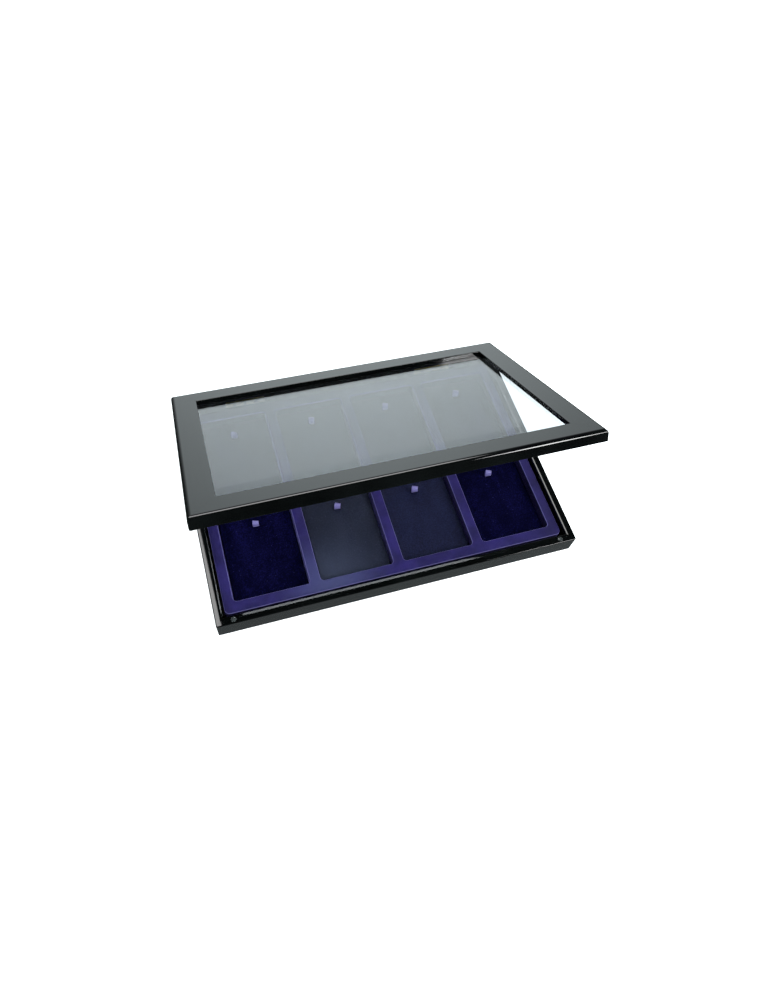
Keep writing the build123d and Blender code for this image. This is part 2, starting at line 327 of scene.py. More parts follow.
def spread(
    tree: bpy.types.NodeTree, value: Socket, source: Span, result: Span, smooth: bool = False
) -> Socket:
    """Takes a value from one span to another.

    Args:
        tree: the node tree.
        value: the value.
        source: the span that it comes from, beyond which it is clamped.
        result: the span that it goes to.
        smooth: it eases in and out at both ends.

    Returns:
        The new value.
    """
    return add_node(
        tree, "MapRange", {"interpolation_type": "SMOOTHSTEP" if smooth else "LINEAR"}, Value=value,
        From_Min=source[0], From_Max=source[1], To_Min=result[0], To_Max=result[1],
    ).outputs["Result"]


class Painter:
    """Builds one material round a Principled shader, on Object coordinates."""

    def __init__(self, name: str, **sockets: Any) -> None:
        """Starts the material.

        Args:
            name: the real material's name.
            sockets: uniform values of the Principled shader, _ standing for a space.
        """
        self.material = bpy.data.materials.new(name)
        self.material.use_nodes = True
        self.tree = self.material.node_tree
        self.tree.nodes.clear()
        self.shader = add_node(self.tree, "BsdfPrincipled", **sockets)
        add_node(self.tree, "OutputMaterial", Surface=self.shader.outputs["BSDF"])
        self.place = add_node(self.tree, "TexCoord").outputs["Object"]

    def link(self, output: Socket, *sockets: str) -> None:
        """Links an output to sockets of the Principled shader."""
        for socket in sockets:
            self.tree.links.new(output, self.shader.inputs[socket])

    def along(self, scale: Triple, turn: float = 0.0) -> Socket:
        """Coordinates for a grain that runs one way, turned about Z by some radians."""
        mapping = add_node(
            self.tree, "Mapping", Vector=self.place, Rotation=(0, 0, turn), Scale=scale
        )
        return mapping.outputs["Vector"]

    def noise(
        self, size: float, detail: float, place: Socket | None = None, **more: float
    ) -> Socket:
        """Noise in lumps.

        Args:
            size: width of the lumps in millimetres.
            detail: how many finer layers they have.
            place: coordinates, or None for the object's own.
            more: further inputs of the noise.

        Returns:
            A value about 0.5.
        """
        place = self.place if place is None else place
        node = add_node(
            self.tree, "TexNoise", Vector=place, Scale=per_metre(size), Detail=detail, **more
        )
        return node.outputs["Fac"]

    def tone(self, value: Socket, deep: str, light: str, span: Span) -> Socket:
        """Turns a value into a colour.

        Args:
            value: the value.
            deep: sRGB code up to the span's start.
            light: sRGB code from the span's end on.
            span: the values between which it changes evenly.

        Returns:
            The colour.
        """
        ramp = add_node(self.tree, "ValToRGB", Fac=value)
        for element, position, code in zip(ramp.color_ramp.elements, span, (deep, light)):
            element.position, element.color = position, linear(code)
        return ramp.outputs["Color"]

    def blend(self, share: Socket, first: Socket, second: str) -> Socket:
        """A colour with a second one mixed in by this share."""
        return add_node(
            self.tree, "Mix", {"data_type": "RGBA"}, i0=share, i6=first, i7=linear(second)
        ).outputs[2]

    def painted_sheen(self, colour: Socket, painted_sheen_colour: str, strength: float) -> Socket:
        """Mixes in a pale patch, a painted reflection, strongest at the patch's middle and none
        past its reach.

        Args:
            colour: the pile's own colour.
            painted_sheen_colour: sRGB code of the painted reflection.
            strength: its share at the middle of the patch.

        Returns:
            The mixed colour.
        """
        settings = {"operation": "DISTANCE"}
        away = add_node(self.tree, "VectorMath", settings, i0=self.place, i1=PAINTED_SHEEN_PLACE)
        reach, share = (0.0, PAINTED_SHEEN_REACH), (strength, 0.0)
        share = spread(self.tree, away.outputs["Value"], reach, share, smooth=True)
        return self.blend(share, colour, painted_sheen_colour)

    def bump(self, height: Socket, strength: float, depth: float, *sockets: str) -> None:
        """Relief of this depth in millimetres on the base, and on other normal sockets."""
        relief = add_node(
            self.tree, "Bump", Height=height, Strength=strength, Distance=depth * MM
        )
        self.link(relief.outputs["Normal"], "Normal", *sockets)


# ---- Finishes -----------------------------------------------------------------------------------
@dataclass(frozen=True)
class PianoLacquer:
    """Black polyester lacquer, sprayed on wood and buffed.

    To the eye it is a deep black with a wet gloss: mirror reflections that ripple a little with
    the orange peel, and fine swirls from buffing that widen them unevenly.
    """

    name: str = "black_polyester_lacquer"
    pigment: str = "#040505"
    wear_and_sheen: str = "#090B0B"
    gloss: float = 0.045
    coat: float = 1.0
    cloud_mm: float = 35.0
    peel_mm: float = 4.0
    peel_height_mm: float = 0.004
    swirl_mm: float = 1.6
    swirl_roughness: Span = (0.16, 0.34)

    def material(self) -> bpy.types.Material:
        """The finished material."""
        paint = Painter(
            self.name, IOR=1.5, Specular_IOR_Level=0.0, Coat_Weight=self.coat,
            Coat_Roughness=self.gloss, Coat_IOR=1.5,
        )
        cloud = paint.noise(self.cloud_mm, 4.0)
        paint.link(paint.tone(cloud, self.pigment, self.wear_and_sheen, (0.35, 0.75)), "Base Color")
        swirl = paint.noise(self.swirl_mm, 3.0, Distortion=2.0)
        paint.link(spread(paint.tree, swirl, (0.3, 0.8), self.swirl_roughness), "Roughness")
        paint.bump(paint.noise(self.peel_mm, 1.0), 1.0, self.peel_height_mm, "Coat Normal")
        return paint.material


@dataclass(frozen=True)
class SatinLacquer:
    """Black lacquer on thin beads, brushed and left unbuffed: black with a soft sheen."""

    name: str = "black_satin_lacquer"
    pigment: str = "#070808"
    wear_and_sheen: str = "#121414"
    roughness: Span = (0.24, 0.44)
    brush_mm: float = 0.6

    def material(self) -> bpy.types.Material:
        """The finished material."""
        paint = Painter(self.name, IOR=1.5)
        brush = paint.noise(self.brush_mm, 3.0, paint.along((0.05, 0.05, 1.0)))
        paint.link(paint.tone(brush, self.pigment, self.wear_and_sheen, (0.3, 0.8)), "Base Color")
        paint.link(spread(paint.tree, brush, (0.0, 1.0), self.roughness), "Roughness")
        paint.bump(brush, 0.4, 0.03)
        return paint.material


@dataclass(frozen=True)
class FloatGlass:
    """Clear float glass: clean reflections, a breath of green, and a ripple hardly to be seen."""

    name: str = "clear_float_glass"
    tint: str = "#CCD2D6"
    clear: float = 0.985
    index: float = 1.53
    wave_mm: float = 60.0
    wave_height_mm: float = 0.004

    def material(self) -> bpy.types.Material:
        """The finished material."""
        paint = Painter(
            self.name, Base_Color=linear(self.tint), Roughness=0.0, IOR=self.index,
            Transmission_Weight=self.clear,
        )
        paint.bump(paint.noise(self.wave_mm, 1.0), 0.3, self.wave_height_mm)
        return paint.material


@dataclass(frozen=True)
class NylonFlock:
    """Violet nylon flock shot on to card: matt, deep, and paler where it is seen along its fibres.

    Real fibres are 0.02 mm thick, too fine to show, so tufts stand for them. Along the rounded
    edges a pale line is painted in, a painted highlight for the sheen that catches there, which
    gives each place a fine pale outline. Down the walls the colour is darkened, painted shade,
    and a pale patch near the front of the tray is a painted reflection.
    """

    name: str = "violet_nylon_flock"
    deep: str = "#181144"
    light: str = "#271E5F"
    # painted reflection: a pale patch of this colour, mixed in by this share
    painted_sheen_colour: str = "#40436A"
    painted_sheen: float = 0.8
    sheen: float = 0.75
    sheen_tint: str = "#8F86E0"
    roughness: float = 0.5
    gloss: float = 0.25
    tuft_mm: float = 0.7
    tuft_depth_mm: float = 0.35
    patch_mm: float = 22.0
    # painted shade: the walls darken to this colour by this share
    wall: str = "#100B2E"
    wall_shade_share: float = 0.9
    # painted highlight: a pale line of this colour along the rounded edges, at this height and
    # reach
    wear_and_sheen: str = "#706BA6"
    highlight_line_height_mm: float = 17.6
    highlight_line_reach_mm: float = 0.4

    def material(self) -> bpy.types.Material:
        """The finished material."""
        paint = Painter(
            self.name, Roughness=self.roughness, IOR=1.45, Specular_IOR_Level=self.gloss,
            Sheen_Weight=self.sheen, Sheen_Roughness=0.22, Sheen_Tint=linear(self.sheen_tint),
        )
        tree, reach = paint.tree, self.highlight_line_reach_mm * MM
        tufts = paint.noise(self.tuft_mm, 4.0, Roughness=0.7)
        both = calculated(tree, "MULTIPLY_ADD", tufts, 0.6, paint.noise(self.patch_mm, 3.0))
        tone = paint.tone(both, self.deep, self.light, (0.62, 0.98))
        # Painted highlight along the rounded edges and painted shade down the walls, both set by
        # height
        height = add_node(tree, "SeparateXYZ", Vector=paint.place).outputs["Z"]
        above = calculated(tree, "SUBTRACT", height, self.highlight_line_height_mm * MM)
        away = calculated(tree, "ABSOLUTE", above)
        edge = spread(tree, away, (0.4 * reach, reach), (1.0, 0.0), smooth=True)
        depth = spread(tree, above, (-3 * reach, -reach), (self.wall_shade_share, 0.0), smooth=True)
        # The pale patch mixed in here is a painted reflection; the wall colour below the edges is
        # painted shade
        lower = paint.blend(depth, paint.painted_sheen(tone, self.painted_sheen_colour, self.painted_sheen), self.wall)
        paint.link(paint.blend(edge, lower, self.wear_and_sheen), "Base Color")
        paint.bump(tufts, 0.6, self.tuft_depth_mm)
        return paint.material


@dataclass(frozen=True)
class Velour:
    """Navy velour over a thin pad: nearly black where its pile stands, paler where it was brushed.

    The pile is 0.1 mm wide, too fine to show, so tufts stand for it, with a few specks of lint.
    """

    name: str = "navy_velour"
    deep: str = "#010117"
    light: str = "#0F0E3C"
    lint: str = "#39376A"
    sheen: float = 0.08
    sheen_tint: str = "#4C4AA8"
    roughness: float = 1.0
    gloss: float = 0.05
    # painted reflection: a pale patch of this colour, mixed in by this share; none unless a finish
    # sets the share
    painted_sheen_colour: str = "#2A2C48"
    painted_sheen: float = 0.0
    tuft_mm: float = 1.3
    tuft_depth_mm: float = 0.4
    stroke_mm: float = 20.0
    lint_mm: float = 5.0

    def material(self) -> bpy.types.Material:
        """The finished material."""
        paint = Painter(
            self.name, Roughness=self.roughness, IOR=1.45, Specular_IOR_Level=self.gloss,
            Sheen_Weight=self.sheen, Sheen_Roughness=0.35, Sheen_Tint=linear(self.sheen_tint),
        )
        tree = paint.tree
        tufts = paint.noise(self.tuft_mm, 4.0, Roughness=0.75)
        along = paint.along((1.0, 0.45, 1.0), turn=0.3)
        strokes = paint.noise(self.stroke_mm, 2.0, along, Distortion=0.4)
        slow = spread(tree, strokes, (0.0, 1.0), (0.0, 0.35))
        both = calculated(tree, "MULTIPLY_ADD", tufts, 1.1, slow)
        tone = paint.tone(both, self.deep, self.light, (0.66, 0.92))
        specks = add_node(
            tree, "TexVoronoi", Vector=paint.place, Scale=per_metre(self.lint_mm)
        ).outputs["Distance"]
        dusted = paint.blend(spread(tree, specks, (0.03, 0.09), (0.7, 0.0)), tone, self.lint)
        # A pale patch mixed in round one place on the tray: a painted reflection
        paint.link(paint.painted_sheen(dusted, self.painted_sheen_colour, self.painted_sheen), "Base Color")
        paint.bump(both, 0.5, self.tuft_depth_mm)
        return paint.material


@dataclass(frozen=True)
class SatinRibbon:
    """Lilac polyester satin: smooth floats that shine along the ribbon, with corded selvedges."""

    name: str = "lilac_satin_ribbon"
    shade: str = "#574E90"
    shine: str = "#8B84B8"
    sheen: float = 0.4
    roughness: float = 0.34
    thread_mm: float = 0.35
    waves_per_scale: float = 3.2

    def material(self) -> bpy.types.Material:
        """The finished material."""
        paint = Painter(
            self.name, Roughness=self.roughness, IOR=1.5, Sheen_Weight=self.sheen,
            Sheen_Tint=linear(self.shine),
        )
        thread = add_node(
            paint.tree, "TexWave", {"bands_direction": "X"}, Vector=paint.place,
            Scale=per_metre(self.thread_mm) / self.waves_per_scale, Distortion=0.4,
        ).outputs["Fac"]
        paint.link(paint.tone(thread, self.shade, self.shine, (0.1, 0.9)), "Base Color")
        paint.bump(thread, 0.5, 0.04)
        return paint.material


@dataclass(frozen=True)
class Brass:
    """Pale rolled or turned brass: yellow metal with fine drawing lines and slight dulling."""

    name: str = "rolled_brass"
    bright: str = "#E3D9A0"
    dull: str = "#C2AE6C"
    roughness: float = 0.24
    line_mm: float = 0.25
    cloud_mm: float = 6.0

    def material(self) -> bpy.types.Material:
        """The finished material."""
        paint = Painter(self.name, Metallic=1.0)
        lines = paint.noise(self.line_mm, 2.0, paint.along((0.04, 1.0, 1.0)))
        cloud = paint.noise(self.cloud_mm, 4.0)
        paint.link(paint.tone(cloud, self.bright, self.dull, (0.35, 0.75)), "Base Color")
        rough = (self.roughness - 0.08, self.roughness + 0.14)
        paint.link(spread(paint.tree, lines, (0.0, 1.0), rough), "Roughness")
        paint.bump(lines, 0.25, 0.02)
        return paint.material


@dataclass(frozen=True)
class ClearRubber:
    """Clear polyurethane of a bumper: milky, glossy, with specks of dust pressed into it."""

    name: str = "clear_polyurethane"
    body: str = "#7C8282"
    dust: str = "#343838"
    roughness: float = 0.2
    clear: float = 0.75
    speck_mm: float = 0.8

    def material(self) -> bpy.types.Material:
        """The finished material."""
        paint = Painter(
            self.name, Roughness=self.roughness, IOR=1.49, Transmission_Weight=self.clear
        )
        specks = paint.noise(self.speck_mm, 3.0)
        paint.link(paint.tone(specks, self.dust, self.body, (0.35, 0.6)), "Base Color")
        paint.bump(specks, 0.3, 0.1)
        return paint.material


@dataclass(frozen=True)
class WoolFelt:
    """Pressed felt under the case: matt, dense, with short crossing fibres."""

    name: str = "pressed_felt"
    deep: str = "#0C0C0E"
    light: str = "#232327"
    sheen: float = 0.35
    sheen_tint: str = "#5A5A62"
    fibre_mm: float = 1.2

    def material(self) -> bpy.types.Material:
        """The finished material."""
        paint = Painter(
            self.name, Roughness=1.0, IOR=1.45, Specular_IOR_Level=0.1, Sheen_Weight=self.sheen,
            Sheen_Tint=linear(self.sheen_tint),
        )
        fibres = paint.noise(self.fibre_mm, 6.0, Roughness=0.8, Distortion=3.0)
        paint.link(paint.tone(fibres, self.deep, self.light, (0.3, 0.75)), "Base Color")
        paint.bump(fibres, 0.7, 0.3)
        return paint.material


@dataclass(frozen=True)
class FibreBoard:
    """Thin hardboard: brown or black pressed fibres, smooth on its face."""

    name: str = "hardboard"
    deep: str = "#1B1714"
    light: str = "#3A2F27"
    fibre_mm: float = 2.0

    def material(self) -> bpy.types.Material:
        """The finished material."""
        paint = Painter(self.name, Roughness=0.75, IOR=1.5)
        fibres = paint.noise(self.fibre_mm, 6.0, paint.along((0.4, 1.0, 1.0)), Distortion=1.0)
        paint.link(paint.tone(fibres, self.deep, self.light, (0.3, 0.7)), "Base Color")
        paint.bump(fibres, 0.3, 0.1)
        return paint.material


# ---- Putting pieces into the frame --------------------------------------------------------------
def dress(piece: bpy.types.Object, finish: bpy.types.Material) -> None:
    """Gives an object this finish in its own material slots.

    Args:
        piece: the object, a new piece or a node.
        finish: its material.
    """
    if not piece.material_slots:
        piece.data.materials.append(None)
    for slot in piece.material_slots:
        slot.link = "OBJECT"
        slot.material = finish


def seat(
    piece: bpy.types.Object, body: str, finish: bpy.types.Material, node: str
) -> None:
    """Dresses a new piece, lets it ride on a body and hides the node that it stands for.

    Args:
        piece: the new object.
        body: the body that carries it.
        finish: its material.
        node: the node that it replaces.
    """
    dress(piece, finish)
    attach(piece, body)
    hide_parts(node)
    log.info("%s: %d faces on %s", piece.name, len(piece.data.polygons), body)


@dataclass(frozen=True)
class Case:
    """Outside sizes that the sub-assemblies share."""

    width: float = 350.0
    depth: float = 240.0
    rim_height: float = 23.5
    wall: float = 7.5
    corner: float = 1.2
    pin_y: float = 122.15
    pin_z: float = 23.8
    opening: float = 30.3
    hinge_places: tuple[float, float] = (-103.0, 103.0)
    hinge_length: float = 40.0
    leaf: float = 1.0
    leaf_play: float = 0.1
    lid_gap: float = 0.6
    rebate_round: float = 0.2

    def notches(self) -> list[float]:
        """Where the hinge leaves' mortises start and end along the back, from left to right."""
        reach = self.hinge_length / 2 + self.leaf_play
        return [place + step for place in self.hinge_places for step in (-reach, reach)]

    def opened(self, points: np.ndarray) -> np.ndarray:
        """Turns the shut lid about the hinge pins up to the rest pose.

        Args:
            points: points of the shut lid.

        Returns:
            The same points on the open lid.
        """
        c, s = math.cos(math.radians(-self.opening)), math.sin(math.radians(-self.opening))
        pivot = np.array([0, self.pin_y, self.pin_z])
        return (points - pivot) @ np.array([[1, 0, 0], [0, c, s], [0, -s, c]]) + pivot

    def build_rails(
        self, body: str, plain: list[Triple], notched: list[Triple], lacquer: bpy.types.Material
    ) -> None:
        """Makes the four lacquered rails of the base or the lid.

        Args:
            body: base or lid.
            plain: the rails' section.
            notched: the section where a hinge leaf is let in.
            lacquer: finish of the rails.
        """
        for side in Side:
            node = f"{body}_{side.word}_rail"
            points = Rail(self, side, plain, notched).points()
            if body == "lid":
                points = self.opened(points)
            ends = [points[0], points[-1]]
            rail = piece_from(f"{node}_lacquered", [Patch(points)], ends, crease=30)
            seat(rail, body, lacquer, node)


@dataclass
class Rail:
    """One mitred rail of a frame: a section carried from mitre to mitre.

    Args:
        case: the case's sizes.
        side: the side of the case that it is on.
        section: (inward, level, radius) of the section's corners.
        notched: the same corners where a hinge leaf is let in.
        seam: half the gap at a mitre.
    """

    case: Case
    side: Side
    section: Sequence[Triple]
    notched: Sequence[Triple]
    seam: float = 0.03

    def points(self) -> np.ndarray:
        """Stations along the rail by points of the section.

        A point u inward of the outer face stands u behind it. Along the rail it goes to the
        station, or to the mitre at length / 2 - u where that comes first. Past the last station
        it turns about the corner's centre with radius corner - u, by up to 45 degrees.

        Returns:
            Array of shape (stations, points of the section, 3).
        """
        half, reach, corner = self.case.width / 2, self.case.depth / 2, self.case.corner
        if self.side in (Side.LEFT, Side.RIGHT):
            half, reach = reach, half
        inner = self.case.notches() if self.side is Side.BACK else []
        turn = np.linspace(math.pi / 4, 0, END_STATIONS)
        ends = [half] * END_STATIONS
        station = np.concatenate([np.negative(ends), np.repeat(inner, 2), ends])
        angle = np.concatenate([-turn, np.zeros(2 * len(inner)), turn[::-1]])
        cut = np.zeros(len(station), dtype=bool)
        cut[END_STATIONS:-END_STATIONS] = [False, True, True, False] * (len(inner) // 2)
        outline = np.where(
            cut[:, None, None], rounded_section(self.notched), rounded_section(self.section)
        )
        inward, level = outline[..., 0], outline[..., 1]
        spare = np.maximum(corner - inward, 0)
        limit = half - np.maximum(inward, corner)
        along = np.clip(station[:, None], -limit, limit) + spare * np.sin(angle)[:, None]
        across = inward + spare * (1 - np.cos(angle))[:, None]
        along -= np.sign(along) * self.seam * (np.abs(station)[:, None] >= half)
        return turned(np.stack([along, across - reach, level], axis=-1), self.side.value)


@dataclass
class Base:
    """Lacquered rails, bottom panel and felt of the base."""

    case: Case = field(default_factory=Case)
    felt: float = 1.0
    felt_inset: float = 3.0
    felt_corner: float = 2.0
    felt_spare: float = 0.15
    felt_waves: tuple[Triple, ...] = ((0.06, 31, 0), (0.05, 57, 1), (0.04, 97, 2))
    panel_top: float = 4.0
    panel_rebate: float = 4.0
    foot_round: float = 1.0
    rim_round: float = 0.8
    inner_round: float = 0.4
    ease_width: float = 1.8
    ease_turn: float = 8.0
    ease_round: float = 20.0

    def sections(self) -> tuple[list[Triple], list[Triple]]:
        """The rail's section, and the one with the rim lowered for a hinge leaf."""
        case, rebate = self.case, self.case.wall - self.panel_rebate
        low = [
            (0.0, self.felt, self.foot_round),
            (rebate, self.felt, case.rebate_round),
            (rebate, self.panel_top, 0.0),
            (case.wall, self.panel_top, case.rebate_round),
        ]
        eased = case.wall - self.ease_width
        drop = self.ease_width * math.tan(math.radians(self.ease_turn))
        rim = [
            (case.wall, case.rim_height - drop, self.inner_round),
            (eased, case.rim_height, self.ease_round),
            (0.0, case.rim_height, self.rim_round),
        ]
        lowered = case.rim_height - case.leaf
        return low + rim, low + [(inward, lowered, 0.0) for inward in (case.wall, eased, 0.0)]

    def build(self, finishes: Paints, nodes: Nodes) -> None:
        """Makes the base's pieces.

        Args:
            finishes: materials by name: lacquer, panel, felt.
            nodes: the frame's nodes by name.
        """
        self.case.build_rails("base", *self.sections(), finishes["lacquer"])
        dress(nodes["bottom_panel"], finishes["panel"])
        seat(self.felt_sheet(), "base", finishes["felt"], "bottom_felt")

    def felt_sheet(self) -> bpy.types.Object:
        """The felt: a thin sheet whose cut edge wanders by a fraction of a millimetre.

        The edge at angle t of the outline moves out by a sum of three sines of t, each with its
        own size, count and start. Each ring has its inset from the edge and its level.
        """
        half = np.array([self.case.width, self.case.depth]) / 2 - self.felt_inset
        outline, normal = rounded_outline(
            *(half - self.felt_spare), self.felt_corner, corner_steps=8, side_steps=60
        )
        turn = np.linspace(0, 2 * math.pi, len(outline), endpoint=False)
        wander = sum(size * np.sin(count * turn + start) for size, count, start in self.felt_waves)
        edge = outline + normal * wander[:, None]
        inset = np.array([6.0, 0.25, 0.05, 0.0, 0.05, 0.25, 6.0])[:, None, None]
        level = np.array([0.0, 0.0, 0.12, 0.5, 0.88, 1.0, 1.0]) * self.felt
        points = lifted(edge[None] - normal[None] * inset, level)
        ends = [points[0], points[-1]]
        sheet = piece_from("bottom_felt_sheet", [Patch(points)], ends, crease=50)
        return sheet


@dataclass
class Tray:
    """The lift-out tray: flocked grid, velour pads and ribbon loops."""

    case: Case = field(default_factory=Case)
    columns: int = 4
    rows: int = 2
    side_gap: float = 2.0
    end_gap: float = 4.0
    board_top: float = 6.0
    pad_top: float = 9.0
    top: float = 18.0
    side_border: float = 9.5
    end_border: float = 10.5
    ridge: float = 10.0
    outer_corner: float = 5.0
    place_corner: float = 3.5
    edge_round: float = 0.8
    lean: float = 0.35
    skirt_round: float = 0.3
    pad_gap: float = 0.8
    pad_corner: float = 2.6
    pad_roll: float = 1.1
    pad_sag: float = 0.35
    pad_crown: float = 0.25
    slit_depth: float = 0.9
    slit_reach: float = 1.5
    ribbon_setback: float = 19.0
    ribbon_width: float = 6.0
    ribbon_edge: float = 0.15
    ribbon_cup: float = 0.12
    ribbon_foot: float = 0.4
    loop_rise: float = 9.3
    loop_sink: float = 1.3
    loop_opening: float = 2.9
    loop_gather: float = 0.32
    loop_pinch: float = 0.8
    loop_lean: Span = (-0.12, 0.0)
    loop_twist: Span = (-0.6, -0.3)
    loop_fall: Span = (-0.10, 0.04)
    naps: tuple[Nap, ...] = (Nap.DEEP, Nap.BRUSHED, Nap.STROKED, Nap.DEEP)

    @property
    def width(self) -> float:
        """Outside width of the grid."""
        return self.case.width - 2 * (self.case.wall + self.side_gap)

    @property
    def depth(self) -> float:
        """Outside depth of the grid."""
        return self.case.depth - 2 * (self.case.wall + self.end_gap)

    @property
    def place_width(self) -> float:
        """Width of one place."""
        return (self.width - 2 * self.side_border - (self.columns - 1) * self.ridge) / self.columns

    @property
    def place_depth(self) -> float:
        """Depth of one place."""
        return (self.depth - 2 * self.end_border - (self.rows - 1) * self.ridge) / self.rows

    def centre(self, row: int, column: int) -> tuple[float, float]:
        """The middle of a place in plan."""
        pitch_x, pitch_y = self.place_width + self.ridge, self.place_depth + self.ridge
        return (column - (self.columns - 1) / 2) * pitch_x, (row - (self.rows - 1) / 2) * pitch_y

    def cell(self, row: int, column: int) -> list[Patch]:
        """One place with its share of the ridges, as two grids of points.

        Round the place run rings: the cell's own outline at the top, the rounded edge of the
        mouth, the leaning wall, and back out underneath. Where the cell is at the outside of the
        tray, a second grid rolls over the outer edge and down.

        Args:
            row: row from the front.
            column: column from the left.

        Returns:
            The two grids.
        """
        roll, (x, y) = self.edge_round, self.centre(row, column)
        mouth, out = rounded_outline(
            self.place_width / 2, self.place_depth / 2, self.place_corner, MOUTH_CORNER, MOUTH_SIDE
        )
        mouth = mouth + [x, y]
        outer = np.array([row == self.rows - 1, column == 0, row == 0, column == self.columns - 1])
        share_x, share_y = (self.place_width + self.ridge) / 2, (self.place_depth + self.ridge) / 2
        high_y = self.depth / 2 - roll if outer[0] else y + share_y
        low_x = roll - self.width / 2 if outer[1] else x - share_x
        low_y = roll - self.depth / 2 if outer[2] else y - share_y
        high_x = self.width / 2 - roll if outer[3] else x + share_x
        corners = np.array([[high_x, high_y], [low_x, high_y], [low_x, low_y], [high_x, low_y]])
        radius = np.where(outer & np.roll(outer, 1), self.outer_corner - roll, 0.0)
        shape = (4, MOUTH_CORNER + MOUTH_SIDE, 2)
        border, normal = mouth.reshape(shape).copy(), out.reshape(shape)
        centre = corners - QUADRANTS * radius[:, None]
        bend = radius[:, None, None] * normal[:, :MOUTH_CORNER]
        border[:, :MOUTH_CORNER] = centre[:, None] + bend
        side, axis = np.arange(4), np.array([1, 0, 1, 0])
        border[side, MOUTH_CORNER:, axis] = corners[side, axis][:, None]
        push, ahead = np.zeros(shape), FACINGS * outer[:, None]
        push[:, : MOUTH_CORNER // 2] = np.roll(ahead, 1, axis=0)[:, None]
        push[:, MOUTH_CORNER // 2 :] = ahead[:, None]
        push[radius > 0, :MOUTH_CORNER] = normal[radius > 0, :MOUTH_CORNER]
        border, push = border.reshape(-1, 2), push.reshape(-1, 2)

        arc, down = np.linspace(math.pi / 2, 0, 7), np.linspace(0, 1, 5)[1:]
        rolled = self.top - roll + roll * np.sin(arc)
        wall = (self.top - roll) + (self.board_top - self.top + roll) * down
        offset = np.concatenate([roll * (1 - np.cos(arc)), -self.lean * down**1.5])
        rings = mouth[None] + out[None] * offset[:, None, None]
        rings = np.concatenate([border[None], rings, border[None]])
        inner = lifted(rings, np.concatenate([[self.top], rolled, wall, [self.board_top]]))

        skirt_out = np.concatenate([roll * np.cos(arc), [roll, roll, 0.0]])
        foot = [self.board_top + self.skirt_round, self.board_top, self.board_top]
        rings = border[None] + push[None] * skirt_out[:, None, None]
        skirt = lifted(rings, np.concatenate([rolled, foot]))
        shown = np.abs(push).sum(axis=1) > 0
        keep = np.broadcast_to((shown & np.roll(shown, -1))[None], (len(skirt) - 1, len(border)))
        return [Patch(inner), Patch(skirt, keep=keep)]

    def pad(self, row: int, column: int, seed: int) -> bpy.types.Object:
        """One velour pad: a thin crowned cushion with a slit where its ribbon comes out.

        The plan is a rectangle whose corner squares are bent on to quarter discs. The height
        follows a quarter circle within the edge's roll, sinks towards the slit by a bell curve of
        the distance to it, and swells by a few slow sines.

        Args:
            row: row from the front.
            column: column from the left.
            seed: number that sets the swells.

        Returns:
            The pad.
        """
        x0, y0 = self.centre(row, column)
        half_x, half_y = self.place_width / 2 - self.pad_gap, self.place_depth / 2 - self.pad_gap
        corner, roll = self.pad_corner, self.pad_roll
        arc = np.sin(np.linspace(0, math.pi / 2, 6))[1:] * roll
        xs = symmetric(half_x - roll, PAD_SPANS[0], arc)
        ys = symmetric(half_y - roll, PAD_SPANS[1], arc)
        x, y = np.meshgrid(xs, ys, indexing="ij")
        over_x = np.maximum(np.abs(x) - (half_x - corner), 0) / corner
        over_y = np.maximum(np.abs(y) - (half_y - corner), 0) / corner
        further = np.maximum(over_x, over_y)
        inside = (over_x > 0) & (over_y > 0)
        scale = np.where(inside, further / np.maximum(np.hypot(over_x, over_y), TINY), 1.0)
        px = np.sign(x) * (np.minimum(np.abs(x), half_x - corner) + over_x * corner * scale)
        py = np.sign(y) * (np.minimum(np.abs(y), half_y - corner) + over_y * corner * scale)
        edge = np.minimum(half_x - np.abs(px), half_y - np.abs(py))
        edge = np.clip(np.where(inside, corner * (1 - further), edge), 0, roll)
        drop = roll - np.sqrt(np.maximum(roll**2 - (roll - edge) ** 2, 0))
        slit_y = self.place_depth / 2 - self.ribbon_setback
        away = np.hypot(np.maximum(np.abs(px) - self.ribbon_width / 2, 0), py - slit_y)
        sink = self.slit_depth * np.exp(-((away / self.slit_reach) ** 2))
        phase = np.random.default_rng(seed).uniform(0, 2 * math.pi, 4)
        swell = 0.05 * np.sin(px / 9 + phase[0]) * np.sin(py / 13 + phase[1])
        swell = swell + 0.04 * np.sin(px / 21 + py / 17 + phase[2])
        swell = swell + 0.02 * np.sin(py / 5 + phase[3])
        crown = self.pad_crown * (1 - (px / half_x) ** 2) * (1 - (py / half_y) ** 2)
        height = self.pad_top - self.pad_sag - drop - sink + swell + crown
        points = np.stack([px + x0, py + y0, height], axis=-1)
        rim = np.concatenate([points[:-1, 0], points[-1, :-1], points[:0:-1, -1], points[0, :0:-1]])
        sides = np.repeat(rim[None], 3, axis=0)
        down = np.array([1.0, 0.5, 0.0])[:, None]
        sides[..., 2] = self.board_top + (rim[None, :, 2] - self.board_top) * down
        name = f"velour_pad_row{row + 1}_column{column + 1}"
        made = piece_from(name, [Patch(points, wrap=False), Patch(sides)], [sides[-1]], crease=60)
        return made

